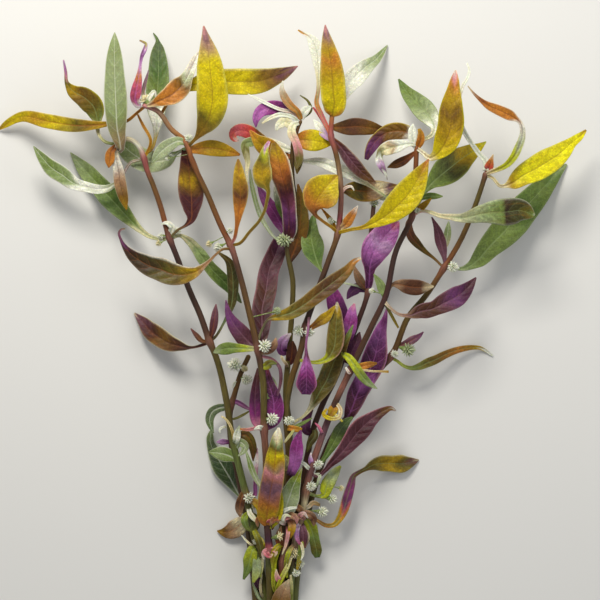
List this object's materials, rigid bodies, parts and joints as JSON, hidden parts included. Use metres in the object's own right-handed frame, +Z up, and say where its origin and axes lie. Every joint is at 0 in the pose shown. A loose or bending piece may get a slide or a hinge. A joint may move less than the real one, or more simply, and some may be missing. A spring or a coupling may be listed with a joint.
{
  "type": "alternanthera reineckii bunch",
  "caption": "Cut bunch of leafy aquarium plant stems lying flat, with lance-shaped gold, olive and magenta leaves and small white flower heads, for decorating a scene.",
  "frame": {"origin": "centre of the bunch's outline seen from above, on the surface that it lies on", "axes": "+Y from the cut ends to the shoot tips, +X to the right as seen from above with the tips up, +Z up from the surface"},
  "size_m": [0.2372, 0.2418, 0.0392],
  "materials": {
    "leaf_brown": "waxy leaf skin with a fine net of veins",
    "leaf_cream": "waxy leaf skin with a fine net of veins",
    "leaf_dark_green": "waxy leaf skin with a fine net of veins",
    "leaf_gold": "waxy leaf skin with a fine net of veins",
    "leaf_green": "waxy leaf skin with a fine net of veins",
    "leaf_magenta": "waxy leaf skin with a fine net of veins",
    "leaf_mauve": "waxy leaf skin with a fine net of veins",
    "leaf_olive": "waxy leaf skin with a fine net of veins",
    "leaf_orange": "waxy leaf skin with a fine net of veins",
    "leaf_plum": "waxy leaf skin with a fine net of veins",
    "leaf_sage": "waxy leaf skin with a fine net of veins",
    "leaf_yellow": "waxy leaf skin with a fine net of veins",
    "stem_brown": "smooth herbaceous bark with swollen nodes",
    "stem_olive": "smooth herbaceous bark with swollen nodes",
    "stem_pink": "smooth herbaceous bark with swollen nodes"
  },
  "bodies": {
    "root": {"stem_a_far_left": "stem_pink", "stem_b_left": "stem_brown", "stem_b2_side": "stem_brown", "stem_c_middle_left": "stem_olive", "stem_d_middle": "stem_pink", "stem_e_middle_right": "stem_pink", "stem_f_back": "stem_brown", "stem_g_right": "stem_olive", "leaf_sage_upright": "leaf_sage", "leaf_gold_far_left": "leaf_gold", "leaf_curled_left": "leaf_olive", "leaf_pale_green_left": "leaf_sage", "leaf_long_green_left": "leaf_green", "leaf_light_green_behind": "leaf_sage", "leaf_dark_green_upright": "leaf_dark_green", "leaf_pink_bud": "leaf_magenta", "leaf_twisted_orange": "leaf_orange", "leaf_yellow_upright_left": "leaf_yellow", "leaf_yellow_level": "leaf_yellow", "leaf_golden_brown": "leaf_gold", "leaf_maroon_band": "leaf_brown", "leaf_maroon_crescent": "leaf_brown", "leaf_light_green_low": "leaf_green", "leaf_orange_left": "leaf_orange", "leaf_olive_behind": "leaf_olive", "leaf_dusty_mauve": "leaf_mauve", "leaf_yellow_green_centre": "leaf_yellow", "leaf_orange_magenta": "leaf_orange", "leaf_white_olive": "leaf_cream", "leaf_green_behind_middle": "leaf_green", "leaf_golden_centre": "leaf_gold", "leaf_white_upright": "leaf_cream", "leaf_orange_yellow_upright": "leaf_yellow", "leaf_white_green_top": "leaf_sage", "leaf_white_arch": "leaf_cream", "leaf_mauve_pale_margin": "leaf_mauve", "leaf_dark_brown_behind": "leaf_brown", "leaf_big_yellow_front": "leaf_yellow", "leaf_arching_brown": "leaf_brown", "leaf_white_violet_tip": "leaf_cream", "leaf_green_top_right": "leaf_green", "leaf_yellow_orange_right": "leaf_yellow", "leaf_white_long": "leaf_cream", "leaf_ribbon": "leaf_orange", "leaf_broad_green_yellow": "leaf_green", "leaf_cupped_end": "leaf_olive", "leaf_bright_yellow_right": "leaf_yellow", "leaf_big_green_right": "leaf_green", "leaf_brown_purple": "leaf_mauve", "leaf_arched_low_right": "leaf_olive", "leaf_pink_violet": "leaf_magenta", "leaf_big_magenta": "leaf_magenta", "leaf_long_brown_olive": "leaf_olive", "leaf_olive_pale_tip": "leaf_olive", "leaf_long_olive_brown": "leaf_olive", "leaf_magenta_teardrop": "leaf_magenta", "leaf_front_mauve_gold": "leaf_gold", "leaf_rolled_olive_right": "leaf_olive", "leaf_plum": "leaf_plum", "leaf_grey_green_low": "leaf_sage"}
  },
  "joints": []
}
